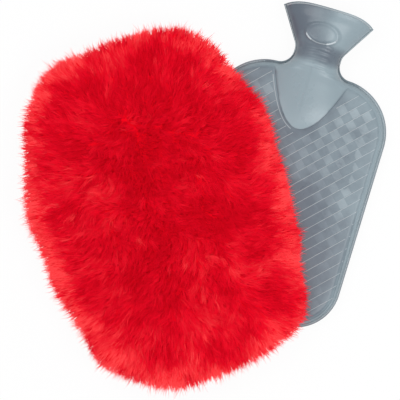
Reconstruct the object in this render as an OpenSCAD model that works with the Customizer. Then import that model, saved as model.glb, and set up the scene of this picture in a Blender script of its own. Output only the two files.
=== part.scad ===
/* [Bottle body] */
// Full width of the body over its seam, at the shoulders
body_w = 186; // [170:1:200]
// Length of the body from its foot to the top of the shoulders
body_l = 264; // [250:1:280]
// Height of the empty body as it lies on its back
body_t = 20; // [18:0.5:24]
// Narrowing of each side from shoulder to foot
side_taper = 2.5; // [0:0.5:5]
// Corner radius at the foot
foot_r = 47; // [35:1:55]
// Radius of the shoulders
shoulder_r = 56; // [48:1:60]
// Radius of the hollow between shoulder and neck
throat_r = 14; // [10:1:18]
// Width of the round edge between seam and flat panel
edge_w = 8; // [6:1:18]
// Wall of the moulding
wall = 2; // [1.6:0.1:2.6]
// Width of the weld seam round the body
seam_w = 3; // [2:0.5:5]
// Width of the weld seam along neck and funnel
neck_seam_w = 1.5; // [1:0.5:2.5]
// Thickness of the weld seam
seam_t = 2.4; // [1.6:0.2:3.2]

/* [Neck and funnel] */
// Width of the neck over its seam
neck_w = 50; // [46:1:56]
// Depth of the neck, front to back
neck_d = 34; // [33:1:38]
// Length of the straight neck
neck_l = 3; // [2:1:12]
// Width of the funnel at its rim
funnel_w = 97; // [84:1:104]
// Depth of the funnel at its rim
funnel_d = 42; // [40:1:48]
// Length of the funnel from the neck to the corners of its rim
funnel_l = 41; // [32:1:46]
// Rise of the rim's middle over its corners
rim_rise = 8.5; // [0:0.5:10]
// Angle of the funnel's sides to the neck
flare_a = 30; // [20:1:40]
// Radius between the neck and the funnel's sides
flare_r = 14; // [8:1:22]
// Number of rings round the neck
ring_count = 5; // [3:1:6]
// Distance that the rings reach up the funnel
ring_reach = 12; // [6:0.5:14]
// Height of a ring
ring_h = 0.8; // [0.3:0.1:1.2]
// Length of the smooth tongue that runs from the neck down the front panel
tongue_l = 63; // [45:1:75]
// Width of the tongue at the neck
tongue_w = 84; // [60:1:88]
// Height of the step along the tongue's edge
tongue_h = 0.8; // [0.4:0.1:1.5]

/* [Front panel] */
// Distance between the raised diagonal lines
line_pitch = 9.5; // [7:0.5:14]
// Width of a raised line
line_w = 0.7; // [0.5:0.1:1.2]
// Height of a raised line
line_h = 0.4; // [0.2:0.1:0.8]
// Plain border between the seam and the lines
border_w = 5.5; // [3:0.5:14]

/* [Closure] */
// Bore of the threaded neck insert
bore_d = 22; // [21:0.1:22.4]
// Outside diameter of the neck insert
insert_d = 27; // [26:0.1:28]
// Length of the neck insert
insert_l = 18; // [15:0.5:20]
// Distance that the insert stands up into the funnel
insert_rise = 7; // [2:0.5:9]
// Pitch of the stopper's thread
thread_pitch = 5; // [4:0.1:6]
// Number of turns that the thread holds
thread_turns = 3; // [2:0.5:3]
// Room for the thread between the plug's core and the bore
thread_room = 1.8; // [1.4:0.1:2.2]
// Diameter of the stopper's collar
collar_d = 25; // [24:0.1:26]
// Thickness of the collar
collar_t = 3; // [2:0.5:4]
// Thickness of the sealing washer
washer_t = 2.4; // [1.6:0.2:3]
// Play between the washer and the stem that it rides on
washer_play = 0.3; // [0.1:0.1:0.5]
// Width of the stopper's grip
grip_w = 29; // [22:1:30]
// Height of the stopper's grip
grip_h = 18; // [14:1:20]
// Thickness of the stopper's grip
grip_t = 7; // [5:0.5:9]

/* [Wool cover] */
// Length of the sewn skin bag, without the wool
cover_l = 322; // [300:1:340]
// Width of the sewn skin bag, without the wool
cover_w = 220; // [210:1:236]
// Squareness of the bag's outline, where 2 is an ellipse
cover_square = 2.7; // [2.2:0.1:3.2]
// Length of the wool round the edge of the bag
wool_side = 24; // [15:1:28]
// Length of the wool on the upper skin
wool_top = 25; // [15:1:32]
// Fall of the upper wool from the middle of the bag to its edge, where it leans outwards
wool_fall = 10; // [0:1:14]
// Thickness of the skin
skin_t = 2; // [1.5:0.5:3]
// Depth of the hollows between the wool's locks
lock_h = 3; // [1:0.5:4]
// Number of locks round the edge of the bag
lock_count = 32; // [24:4:36]
// Height of the slack pocket inside the bag
pocket_h = 8; // [7:0.5:12]
// Width of the sewn edge between pocket and wool
hem_w = 4; // [2:0.5:6]
// Width of the mouth at the bag's head end
mouth_w = 124; // [100:2:136]
// Wool pressed flat between the bottle and the skin over it
pressed_t = 4; // [3:0.5:8]
// Turn of the bag against the bottle
cover_turn = 33.5; // [25:0.5:40]
// Place of the bag's middle across the bottle
cover_x = -110; // [-120:1:-100]
// Place of the bag's middle along the bottle
cover_y = -50; // [-60:1:-40]
// Gap between the cover and the bottle under it
cover_gap = 0.3; // [0.2:0.1:1]

/* [Hidden] */
$fn = 64;

pvc_colour = [0.56, 0.62, 0.66];
insert_colour = [0.45, 0.48, 0.5];
stopper_colour = [0.3, 0.33, 0.35];
washer_colour = [0.12, 0.12, 0.12];
wool_colour = [0.86, 0.05, 0.1];

// Outline of the bottle, seen from above with the neck towards +Y
foot_y = -body_l / 2;
shoulder_c = [body_w / 2 - shoulder_r, body_l / 2 - shoulder_r];
foot_c = [body_w / 2 - side_taper - foot_r, foot_y + foot_r];
throat_x = neck_w / 2 + throat_r;
throat_y = shoulder_c.y + sqrt(pow(shoulder_r + throat_r, 2) - pow(throat_x - shoulder_c.x, 2));
tangent_a = atan2(throat_y - shoulder_c.y, throat_x - shoulder_c.x);
tangent_y = shoulder_c.y + shoulder_r * sin(tangent_a);
neck_y = throat_y + neck_l;
rim_y = neck_y + funnel_l;

// The funnel leaves the neck on a short curve and then flares straight
flare_run = flare_r * sin(flare_a);
flare_out = flare_r * (1 - cos(flare_a)) + (funnel_l - flare_run) * tan(flare_a);

// Heights: the neck rises off the floor, because the funnel is deeper than the empty body
axis_z = funnel_d / 2;
seam_z = body_t / 2;
middle_bend_l = 34;
neck_blend_l = 14;
seam_bend_l = 6;
bend_y = body_l / 2 - middle_bend_l;
neck_start_y = body_l / 2 - neck_blend_l;
seam_bend_y = tangent_y - seam_bend_l;

// Places of the insert and of the stopper along the neck. The moulding closes in on the insert
// before its lower end, and opens to the funnel over its top
insert_grip = 0.4;
bore_blend_l = 8;
insert_top = neck_y + insert_rise;
insert_end = insert_top - insert_l;
washer_top = insert_top + washer_t;

function smooth(t) = let (k = max(0, min(1, t))) k * k * (3 - 2 * k);
function mix(a, b, t) = a + (b - a) * t;
function dome(t) = t <= 0 ? 0 : t >= 1 ? 1 : sqrt(1 - (1 - t) * (1 - t));
function sorted(v) = len(v) < 2 ? v
    : let (p = v[floor(len(v) / 2)])
      concat(sorted([for (y = v) if (y < p - 0.2) y]), [p], sorted([for (y = v) if (y > p + 0.2) y]));

// Half width of the funnel, stretched so that it meets the width of the rim
function flare_x(y) =
    let (d = y - neck_y,
         curve = d <= 0 ? 0
             : d < flare_run ? flare_r - sqrt(flare_r * flare_r - d * d)
             : flare_r * (1 - cos(flare_a)) + (d - flare_run) * tan(flare_a))
    neck_w / 2 + curve / flare_out * (funnel_w - neck_w) / 2;

// Half width at a place along the bottle, at a distance inside the outline
function outline_x(y, off) =
    let (side_y = shoulder_c.y + (shoulder_r - off) * sin(tangent_a),
         side = mix(body_w / 2 - side_taper, body_w / 2, (y - foot_c.y) / (shoulder_c.y - foot_c.y)))
    y < foot_c.y ? foot_c.x + sqrt(max(0, pow(foot_r - off, 2) - pow(foot_c.y - y, 2)))
    : y < shoulder_c.y ? side - off
    : y < side_y ? shoulder_c.x + sqrt(max(0, pow(shoulder_r - off, 2) - pow(y - shoulder_c.y, 2)))
    : y < throat_y ? throat_x - sqrt(max(0, pow(throat_r + off, 2) - pow(throat_y - y, 2)))
    : flare_x(y) - off;
function half_w(y) = outline_x(y, 0);

// Distance of a point from the outline, measured inwards
function inward(x, y) =
    let (side = half_w(y) - abs(x), ax = abs(x))
    y < foot_c.y ? (ax > foot_c.x ? foot_r - norm([ax, y] - foot_c) : y - foot_y)
    : y < foot_c.y + foot_r ? min(side, y - foot_y)
    : y < shoulder_c.y ? side
    : y < throat_y ? min(ax > shoulder_c.x ? shoulder_r - norm([ax, y] - shoulder_c) : foot_r,
                         norm([ax, y] - [throat_x, throat_y]) - throat_r)
    : side;

// 0 on the body and 1 on the neck, which starts later beside the neck than in front of it
function neckness(x, y) =
    smooth((y - neck_start_y - max(0, abs(x) - neck_w / 2 + 3) / 2) / (throat_y - neck_start_y));
// 0 in the body's hollow, 1 in the bore of the neck and 0 again in the funnel
function boreness(y) =
    min(smooth((y - neck_start_y + bore_blend_l) / (insert_end - neck_start_y + bore_blend_l)),
        1 - smooth((y - insert_top) / bore_blend_l));
function seam_width(y) = mix(seam_w, neck_seam_w, neckness(0, y));
function seam_height(y) = mix(seam_z, axis_z, smooth((y - seam_bend_y) / (neck_y - seam_bend_y)));
function middle_height(y) = mix(seam_z, axis_z, smooth((y - bend_y) / (insert_end - bend_y)));
function neck_depth(y) = mix(neck_d / 2, funnel_d / 2, smooth((y - neck_y) / funnel_l));

// The tongue is a parabola in plan, which swells towards the neck and meets it just below full height
tongue_y = body_l / 2 - tongue_l;
tongue_wall = wall * 1.5;
tongue_share = 0.9;
function tongue_x(y) = tongue_w / 2 * sqrt(max(0, y - tongue_y) / tongue_l);
function tongue_rise(x, y, inset) =
    let (hw = tongue_x(y) - (inset > 0 ? tongue_wall : 0), t = (y - tongue_y) / (throat_y - tongue_y))
    hw <= 0 || abs(x) > hw + 0.01 ? 0
    : tongue_h + (axis_z + neck_d / 2 - body_t) * smooth(t * tongue_share) * max(0, 1 - pow(x / hw, 2));

// Rings round the middle of the neck, as a share of their height. They fade out beside the middle
ring_fade = 4.8;
ring_top = neck_y + ring_reach;
ring_pitch = (ring_top - tangent_y) / ring_count;
function ring_at(x, y) =
    y > ring_top || y < tangent_y ? 0
    : pow(sin(180 * (ring_top - y) / ring_pitch), 2) * smooth(2 - abs(x) * ring_fade / neck_w);

// Height of the moulding's outer surface over the floor, less an inset for the inner one.
// side is 1 for the front and -1 for the back
bore_r = insert_d / 2 - insert_grip;
function shell_height(x, y, side, inset) =
    let (edge = seam_height(y) + side * seam_t / (inset > 0 ? 4 : 2),
         d = inward(x, y) - seam_width(y) - inset,
         flat = side > 0 ? body_t - inset + tongue_rise(x, y, inset) : inset,
         body = mix(edge, flat, dome(d / (edge_w - inset / 2))),
         width = outline_x(y, seam_width(y) + inset),
         ring = inset > 0 ? 0 : ring_h * ring_at(x, y),
         middle = max(inset, middle_height(y) + side * (neck_depth(y) + ring - inset)),
         neck = mix(edge, middle, sqrt(max(0, 1 - pow(x / width, 2)))))
    mix(body, neck, neckness(x, y));

// The inner surface also takes in the bore, and never comes nearer to the outer one than most of a wall
function skin_height(x, y, side, inset) =
    inset == 0 ? shell_height(x, y, side, 0)
    : let (root = mix(outline_x(y, seam_width(y) + inset), bore_r, boreness(y)),
           lip = seam_t / 4,
           round = axis_z + side * (lip + (bore_r - lip) * sqrt(max(0, 1 - pow(x / root, 2)))),
           z = mix(shell_height(x, y, side, inset), round, boreness(y)),
           limit = shell_height(x, y, side, 0) - side * inset)
      side > 0 ? min(z, limit) : max(z, limit);

// Places along the bottle where a cross-section is taken
foot_steps = [0, 3, 4.5, 8, 14, 24, 36];
shoulder_angles = [15, 30, 43, 55, 66, 75, 82];
tongue_rows = [for (d = [0, 2, 6, 12]) tongue_y + d];
ring_rows = [for (i = [0:ring_count * 2]) tangent_y + i * ring_pitch / 2];
outer_y = sorted(concat(
    [for (d = foot_steps) foot_y + d],
    [for (i = [0:3]) mix(foot_c.y, tongue_y, i / 4)],
    tongue_rows,
    [for (a = shoulder_angles) shoulder_c.y + shoulder_r * sin(a)],
    ring_rows,
    [for (i = [1:5]) mix(ring_top, rim_y, i / 5)]));
inner_foot = foot_y + seam_w + wall;
inner_y = sorted(concat(
    [for (d = [0, 2, 6, 12, 22, 34]) inner_foot + d],
    [for (i = [0:2]) mix(foot_c.y, tongue_y, i / 3)],
    [tongue_y],
    [for (a = [30, 42, 52, 60, 68, 75, 80]) shoulder_c.y + shoulder_r * sin(a)],
    [for (i = [0:2]) mix(tangent_y, insert_end, i / 2)],
    [for (i = [0:2]) insert_top + bore_blend_l * i / 2],
    [for (i = [1:4]) mix(insert_top + bore_blend_l, rim_y, i / 4)]));

// Places across a cross-section: the seam, the round edge, the tongue and the middle
edge_steps = [0.12, 0.35, 0.7, 1];
neck_steps = [0.99, 0.95, 0.87, 0.75, 0.6, 0.5, 0.34, 0.17, 0];
function columns(y, inset) =
    let (w = half_w(y),
         core = min(w - 0.5, outline_x(y, seam_width(y) + inset)),
         bore = inset > 0 ? boreness(y) : 0,
         n = max(neckness(0, y), bore),
         root = mix(core, bore_r, bore),
         tip = y < tongue_y ? 3 + (tongue_y - y) * 0.3 : max(3, tongue_x(y) - (inset > 0 ? tongue_wall : 0)),
         t_in = min(tip, root * 0.8),
         t_out = min(t_in + 1, root * 0.84),
         span = min(edge_w, (root - t_out) * 0.9),
         body = concat([for (e = edge_steps) root - span * e], [t_out, t_in, t_in * 0.66, t_in * 0.33, 0]),
         half = [for (i = [0:len(body) - 1]) mix(body[i], neck_steps[i] * root, n)])
    concat(inset > 0 ? [root, root * 0.998] : [w, core], half);
half_n = len(columns(0, 0));
side_n = 2 * half_n - 1;
ring_n = 2 * side_n;

// Moves the cross-sections of the funnel forward in the middle, so that the rim is bowed: nearly
// straight over most of its width and falling to its corners
function bowed(x, y) = y + rim_rise * smooth((y - neck_y) / funnel_l) * (1 - pow(x / half_w(y), 4));

function section(y, inset) =
    let (c = columns(y, inset), xs = concat(c, [for (i = [half_n - 2:-1:0]) -c[i]]))
    concat([for (x = xs) [x, bowed(x, y), skin_height(x, y, 1, inset)]],
           [for (i = [side_n - 1:-1:0]) [xs[i], bowed(xs[i], y), skin_height(xs[i], y, -1, inset)]]);

// The moulding is one skin: up the outside, over the rim and down the inside
module moulding() {
    outside = [for (y = outer_y) section(y, 0)];
    inside = [for (i = [len(inner_y) - 1:-1:0]) section(inner_y[i], wall)];
    sections = concat(outside, inside);
    last = len(sections) - 1;
    points = [for (s = sections) each s];
    walls = [for (i = [0:last - 1]) for (j = [0:ring_n - 1])
        let (a = i * ring_n + j, b = i * ring_n + (j + 1) % ring_n)
        each [[a, b, a + ring_n], [b, b + ring_n, a + ring_n]]];
    foot = [for (j = [0:side_n - 2])
        let (a = j, b = j + 1, c = ring_n - 2 - j, d = ring_n - 1 - j)
        each [[a, c, b], [a, d, c]]];
    end = [for (j = [0:side_n - 2])
        let (o = last * ring_n, a = o + j, b = o + j + 1, c = o + ring_n - 2 - j, d = o + ring_n - 1 - j)
        each [[a, b, c], [a, c, d]]];
    polyhedron(points, concat(walls, foot, end));
}

// The part of the front panel that carries the raised lines
line_edge = seam_w + border_w;
function line_x(y) =
    y < foot_c.y ? foot_c.x + sqrt(max(0, pow(foot_r - line_edge, 2) - pow(foot_c.y - y, 2)))
    : y < shoulder_c.y ? half_w(y) - line_edge
    : shoulder_c.x + sqrt(max(0, pow(shoulder_r - line_edge, 2) - pow(y - shoulder_c.y, 2)));
line_rows = concat(
    [for (a = [90:-15:15]) foot_c.y - (foot_r - line_edge) * sin(a)],
    [for (a = [0:15:60]) shoulder_c.y + (shoulder_r - line_edge) * sin(a)]);

module mirrored_outline(edge) {
    polygon(concat(edge, [for (i = [len(edge) - 1:-1:0]) [-edge[i].x, edge[i].y]]));
}

// The tongue's edge, with a plain strip beside it
tongue_gap = 2;
function tongue_edge(t) =
    let (y = mix(tongue_y, body_l / 2, t * t))
    [tongue_x(y) + tongue_gap, y - tongue_gap * 1.5];

module panel_outline() {
    difference() {
        mirrored_outline([for (y = line_rows) [line_x(y), y]]);
        mirrored_outline([for (i = [0:10]) tongue_edge(i / 10)]);
    }
}

module raised_lines() {
    count = ceil(body_l / line_pitch);
    root = wall * 0.75;
    translate([0, 0, body_t - root])
        linear_extrude(root + line_h)
            intersection() {
                panel_outline();
                rotate(45)
                    for (i = [-count:count])
                        translate([-body_l, i * line_pitch - line_w / 2])
                            square([2 * body_l, line_w]);
            }
}

// Puts a turned piece on the neck's axis, with its own zero at a place along the bottle
module on_neck(y) {
    translate([0, y, axis_z])
        rotate([-90, 0, 0])
            children();
}

module bottle() {
    color(pvc_colour)
        difference() {
            union() {
                moulding();
                raised_lines();
            }
            on_neck(insert_end)
                cylinder(d = insert_d, h = insert_l);
        }
}

module neck_insert() {
    lead = 1;
    color(insert_colour)
        on_neck(insert_end)
            rotate_extrude()
                polygon([[bore_d / 2, 0], [insert_d / 2, 0], [insert_d / 2, insert_l],
                         [bore_d / 2 + lead, insert_l], [bore_d / 2, insert_l - lead]]);
}

plug_r = bore_d / 2 - thread_room;
plug_l = thread_pitch * thread_turns - washer_t;

module stopper() {
    tip = 1.5;
    web = 0.6;
    color(stopper_colour)
        on_neck(washer_top) {
            rotate_extrude()
                polygon([[0, -plug_l], [plug_r - tip, -plug_l], [plug_r, tip - plug_l], [plug_r, 0],
                         [collar_d / 2 - web, 0], [collar_d / 2, web], [collar_d / 2, collar_t - web],
                         [collar_d / 2 - web, collar_t], [0, collar_t]]);
            translate([0, grip_t / 2, 0])
                rotate([90, 0, 0])
                    linear_extrude(grip_t)
                        grip_outline();
        }
}

// The grip widens from the collar to two round ears, with a low saddle between them
module grip_outline() {
    ear_r = grip_h / 3;
    ear_x = grip_w / 2 - ear_r;
    ear_y = collar_t + grip_h - ear_r;
    saddle_y = ear_y + ear_r * 0.4;
    root_x = collar_d / 2 - 3;
    root_y = collar_t - 1;
    polygon([[-root_x, root_y], [root_x, root_y], [grip_w / 2, ear_y], [ear_x, ear_y],
             [0, saddle_y], [-ear_x, ear_y], [-grip_w / 2, ear_y]]);
    for (s = [-1, 1])
        translate([s * ear_x, ear_y])
            circle(ear_r);
}

module sealing_washer() {
    color(washer_colour)
        on_neck(insert_top)
            difference() {
                cylinder(d = collar_d, h = washer_t);
                translate([0, 0, -1])
                    cylinder(r = plug_r + washer_play, h = washer_t + 2);
            }
}

// Heights of the cover: lower wool, skin, pocket, skin and upper wool
hem_z = body_t + line_h + cover_gap + pressed_t + skin_t + pocket_h / 2;
upper_h = pocket_h / 2 + skin_t + wool_top;
side_n_wool = lock_count * 3;

function bag_r(a, extra) =
    let (c = abs(cos(a)) / (cover_w / 2 + extra), s = abs(sin(a)) / (cover_l / 2 + extra))
    1 / pow(pow(c, cover_square) + pow(s, cover_square), 1 / cover_square);

// Locks of wool: ridges that run outwards and swing from ring to ring
function lock(j, ring) =
    lock_h * (0.55 * sin(120 * j + 75 * ring)
              + 0.3 * sin(47 * j - 130 * ring)
              + 0.15 * sin(83 * j + 31 * ring));

function wool_point(j, out, z) =
    let (a = 360 * j / side_n_wool, r = bag_r(a, out)) [r * cos(a), r * sin(a), z];

// Rings of points from the hem, where the wool stands out furthest, up or down to the bag's edge
side_angles = [0, 22, 45, 68, 90];
function side_ring(i, up, height) =
    let (a = side_angles[i],
         locks = i == 4 && up < 0 ? 0 : 1,
         ruffled = up > 0 && i > 2 ? 1 : 0)
    [for (j = [0:side_n_wool - 1])
        let (l = lock(j, i) * locks,
             out = (wool_side - lock_h / 2) * cos(a) + l * cos(a * 0.6),
             z = hem_z + up * (height * sin(a) + ruffled * (l - lock_h) / 2))
        wool_point(j, out, i == 0 ? hem_z : max(0, z))];

// Rings of points over the upper panel, where the wool rises to the middle
face_shares = [0.86, 0.7, 0.52, 0.34, 0.17];
function face_z(share) = hem_z + upper_h - lock_h / 2 - wool_fall * share * share;
function face_ring(i) =
    let (share = face_shares[i])
    [for (j = [0:side_n_wool - 1])
        let (a = 360 * j / side_n_wool, r = bag_r(a, 0) * share)
        [r * cos(a), r * sin(a), face_z(share) + share * lock(j + i, i * 2 + 5)]];

// A closed form from rings of points, with its top in the middle of the last ring and its base on the hem
module wool_half(rings, top_z, up) {
    n = side_n_wool;
    last = len(rings) - 1;
    top = (last + 1) * n;
    base = top + 1;
    points = concat([for (r = rings) each r], [[0, 0, top_z], [0, 0, hem_z]]);
    walls = [for (i = [0:last - 1]) for (j = [0:n - 1])
        let (a = i * n + j, b = i * n + (j + 1) % n)
        each [[a, a + n, b], [b, a + n, b + n]]];
    caps = [for (j = [0:n - 1])
        let (k = (j + 1) % n)
        each [[last * n + j, top, last * n + k], [j, k, base]]];
    faces = concat(walls, caps);
    polyhedron(points, up > 0 ? faces : [for (f = faces) [f[0], f[2], f[1]]]);
}

module upper_wool() {
    sides = [for (i = [0:4]) side_ring(i, 1, upper_h - wool_fall)];
    face = [for (i = [0:len(face_shares) - 1]) face_ring(i)];
    wool_half(concat(sides, face), face_z(0), 1);
}

module lower_wool() {
    wool_half([for (i = [0:4]) side_ring(i, -1, hem_z)], 0, -1);
}

// The slack room inside the bag, which opens through the wool at the head end
module pocket() {
    steps = 72;
    translate([0, 0, hem_z - pocket_h / 2])
        linear_extrude(pocket_h)
            union() {
                polygon([for (i = [0:steps - 1])
                    let (a = 360 * (i + 0.4) / steps, r = bag_r(a, -hem_w))
                    [r * cos(a), r * sin(a)]]);
                translate([-mouth_w / 2, 0])
                    square([mouth_w, cover_l / 2 + wool_side + lock_h * 2]);
            }
}

module place_cover() {
    translate([cover_x, cover_y, 0])
        rotate(cover_turn)
            children();
}

module cover_upper() {
    color(wool_colour)
        place_cover()
            difference() {
                upper_wool();
                pocket();
            }
}

// The wool under the bag is pressed away where the bottle lies
bottle_rows = concat(
    [for (a = [90:-15:0]) foot_c.y - foot_r * sin(a)],
    [for (a = [0:15:75]) shoulder_c.y + shoulder_r * sin(a)]);

module bottle_bed() {
    room = cover_gap * 2;
    translate([0, 0, -1])
        linear_extrude(1 + body_t + line_h + cover_gap)
            mirrored_outline([for (y = bottle_rows) [half_w(y) + room, y + (y < 0 ? -room : room)]]);
}

module cover_lower() {
    color(wool_colour)
        difference() {
            place_cover()
                difference() {
                    lower_wool();
                    pocket();
                }
            bottle_bed();
        }
}

bottle();
neck_insert();
stopper();
sealing_washer();
cover_upper();
cover_lower();
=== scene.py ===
import math

import bmesh
import bpy
import numpy as np
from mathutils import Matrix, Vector, kdtree, noise


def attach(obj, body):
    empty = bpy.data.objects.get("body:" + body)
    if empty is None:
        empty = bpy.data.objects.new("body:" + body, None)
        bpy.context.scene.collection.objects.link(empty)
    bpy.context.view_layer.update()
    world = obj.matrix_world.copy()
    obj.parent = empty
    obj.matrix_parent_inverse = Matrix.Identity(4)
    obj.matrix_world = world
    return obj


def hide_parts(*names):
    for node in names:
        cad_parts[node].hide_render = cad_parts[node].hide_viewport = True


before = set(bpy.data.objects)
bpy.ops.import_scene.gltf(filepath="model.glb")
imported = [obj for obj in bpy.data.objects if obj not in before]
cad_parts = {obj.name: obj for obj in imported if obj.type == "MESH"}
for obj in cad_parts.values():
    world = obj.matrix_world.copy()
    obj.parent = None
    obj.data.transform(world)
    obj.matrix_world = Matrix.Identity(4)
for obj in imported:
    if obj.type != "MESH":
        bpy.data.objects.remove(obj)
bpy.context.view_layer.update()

# Sizes are in millimetres, as on the bottle's drawing, and each mesh is brought to metres when it is finished
MM = 0.001
SEED = 41

# Camera, straight above and turned so that the bottle leans clockwise across the picture
PICTURE = 400
PIXEL = 1.041
LEAN = 16
CAMERA_Z = 4000
SHARP_Z = 20
VIEW_X, VIEW_Y = -76.4, -30.0

# Bottle body
BODY_W, BODY_L, BODY_T = 186, 264, 20
SIDE_TAPER = 2.5
FOOT_R, SHOULDER_R, THROAT_R = 47, 56, 14
EDGE_W, WALL = 8, 2
SEAM_W, NECK_SEAM_W, SEAM_T = 3, 1.5, 2.4

# Neck and funnel
NECK_W, NECK_D, NECK_L = 50, 34, 3
FUNNEL_W, FUNNEL_D, FUNNEL_L = 97, 42, 41
RIM_RISE = 8.5
RING_COUNT, RING_REACH, RING_H = 5, 12, 0.8
RING_FADE, RING_BOW = 4.8, 4
TONGUE_L, TONGUE_W, TONGUE_H = 63, 84, 0.8
TONGUE_SHARE = 0.9
FLARE_R, FLARE_A = 14, math.radians(30)
INSERT_D, INSERT_L, INSERT_RISE = 27, 18, 7
INSERT_GRIP, BORE_BLEND = 0.4, 8
MIDDLE_BEND, NECK_BLEND, SEAM_BEND = 34, 14, 6

# Front panel: raised lines, squares between them, a plain border with its frame, and fine beads coloured
# light as painted highlights
LINE_PITCH, LINE_W, LINE_H = 9.5, 0.7, 0.4
LINE_COUNT, LINE_REACH, LINE_GAP = 26, 240, 2.5
BORDER_W, BORDER_FOOT_W, FRAME_W = 5.5, 2.6, 0.8
BEAD_W, BEAD_H, RIM_BEAD_W = 0.8, 0.28, 1.5
SEAM_BEAD_OFF, NECK_BEAD_OFF, RIM_BEAD_OFF = 1.7, 0.8, 1.5
BAR_SINK, BAR_ROUND = 0.35, 0.3
TILE_GAP, TILE_H = 0.9, 0.03
GROOVE_W = 2.6
PLATE_X, PLATE_Y, PLATE_W, PLATE_L, PLATE_H = -2, 170.5, 38, 23, 1.7
PLATE_CREST, PLATE_ROLL = 0.9, 0.2

# Stopper and its thread
BORE_D, THREAD_PITCH, THREAD_ROOM, THREAD_H = 22, 5, 1.8, 1.4
THREAD_TURNS, WASHER_T = 3, 2.4

# Wool cover: the bag, the dense down over it, and the strands that stand out of the down
COVER_L, COVER_W, COVER_SQUARE = 322, 220, 2.7
COVER_X, COVER_Y, COVER_TURN = -110, -50, math.radians(33.5)
HEM_Z, POCKET_H, SKIN_T = 30.7, 8, 2
MOUTH_W, MOUTH_EASE, MOUTH_SLIT = 124, 18, 3
WOOL_TOP_Z = 61.5
DOWN_TOP, DOWN_FALL, DOWN_OUT, DOWN_UNDER = 18, 8, 16.5, 24
PRESSED_Z = 22.3
WHORL, CALM = (4, 88), 45
TOP_STRANDS, EDGE_STRANDS = 66000, 21500
STRAND_L, EDGE_STRAND_L, STRAND_W = 15.5, 9.8, (0.2, 0.4)
TUFT_OF, TUFT_SCATTER, STRAND_SCATTER = 11, 0.24, 0.2
EDGE_SPAN = (-62, 88)
ROOT_SINK, BOTTLE_MARGIN, WOOL_OVER, WOOL_OFF_FLOOR = 1.5, 1.5, 1.6, 0.8

# Lumps of the cover's edge: angle in the bag's plan, how far it bulges, and over how many degrees
BULGES = ((12, -2, 8), (28, 1.5, 8), (43, -4, 8), (65, 6, 11), (98, -2, 8), (113, 5, 8), (130, 2, 10),
          (142, -2.5, 6), (168, 6.5, 13), (195, 3, 10), (219, -3, 8), (231, 5, 8), (241, -2, 7), (254, 2, 10),
          (282, -2, 8), (304, 7, 10), (321, -5, 7), (342, -4.5, 16))

# Worked out from the sizes above
FOOT_Y = -BODY_L / 2
SHOULDER_C = (BODY_W / 2 - SHOULDER_R, BODY_L / 2 - SHOULDER_R)
FOOT_C = (BODY_W / 2 - SIDE_TAPER - FOOT_R, FOOT_Y + FOOT_R)
THROAT_X = NECK_W / 2 + THROAT_R
THROAT_Y = SHOULDER_C[1] + math.sqrt((SHOULDER_R + THROAT_R) ** 2 - (THROAT_X - SHOULDER_C[0]) ** 2)
TANGENT_A = math.atan2(THROAT_Y - SHOULDER_C[1], THROAT_X - SHOULDER_C[0])
TANGENT_Y = SHOULDER_C[1] + SHOULDER_R * math.sin(TANGENT_A)
NECK_Y = THROAT_Y + NECK_L
RIM_Y = NECK_Y + FUNNEL_L
FLARE_RUN = FLARE_R * math.sin(FLARE_A)
FLARE_OUT = FLARE_R * (1 - math.cos(FLARE_A)) + (FUNNEL_L - FLARE_RUN) * math.tan(FLARE_A)
AXIS_Z = FUNNEL_D / 2
SEAM_Z = BODY_T / 2
BEND_Y = BODY_L / 2 - MIDDLE_BEND
NECK_START_Y = BODY_L / 2 - NECK_BLEND
SEAM_BEND_Y = TANGENT_Y - SEAM_BEND
INSERT_TOP = NECK_Y + INSERT_RISE
INSERT_END = INSERT_TOP - INSERT_L
TONGUE_Y = BODY_L / 2 - TONGUE_L
PANEL_TOP = BODY_L / 2 - 12
RING_TOP = NECK_Y + RING_REACH
RING_PITCH = (RING_TOP - TANGENT_Y) / RING_COUNT
BORE_R = INSERT_D / 2 - INSERT_GRIP
TONGUE_WALL = WALL * 1.5
FARTHEST = COVER_L / 2 + 22


def smooth(t):
    """An eased step: 0 up to t = 0 and 1 from t = 1."""
    t = np.clip(t, 0, 1)
    return t * t * (3 - 2 * t)


def mix(a, b, t):
    return a + (b - a) * t


def dome(t):
    """A quarter circle that rises from 0 to 1."""
    return np.sqrt(1 - (1 - np.clip(t, 0, 1)) ** 2)


def root(x):
    return np.sqrt(np.maximum(x, 0))


# The moulded form of the bottle, as heights over its plan

def flare_x(y):
    """Half width of the neck and funnel, which flares on a short curve and then straight."""
    d = y - NECK_Y
    curve = np.select(
        [d <= 0, d < FLARE_RUN],
        [0 * d, FLARE_R - root(FLARE_R**2 - np.clip(d, 0, FLARE_R) ** 2)],
        FLARE_R * (1 - math.cos(FLARE_A)) + (d - FLARE_RUN) * math.tan(FLARE_A))
    return NECK_W / 2 + curve / FLARE_OUT * (FUNNEL_W - NECK_W) / 2


def outline_x(y, off):
    """Half width at a place along the bottle, at a distance inside the outline."""
    side_y = SHOULDER_C[1] + (SHOULDER_R - off) * math.sin(TANGENT_A)
    side = mix(BODY_W / 2 - SIDE_TAPER, BODY_W / 2, (y - FOOT_C[1]) / (SHOULDER_C[1] - FOOT_C[1]))
    return np.select(
        [y < FOOT_C[1], y < SHOULDER_C[1], y < side_y, y < THROAT_Y],
        [FOOT_C[0] + root((FOOT_R - off) ** 2 - (FOOT_C[1] - y) ** 2),
         side - off,
         SHOULDER_C[0] + root((SHOULDER_R - off) ** 2 - (y - SHOULDER_C[1]) ** 2),
         THROAT_X - root((THROAT_R + off) ** 2 - (THROAT_Y - y) ** 2)],
        flare_x(y) - off)


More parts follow.
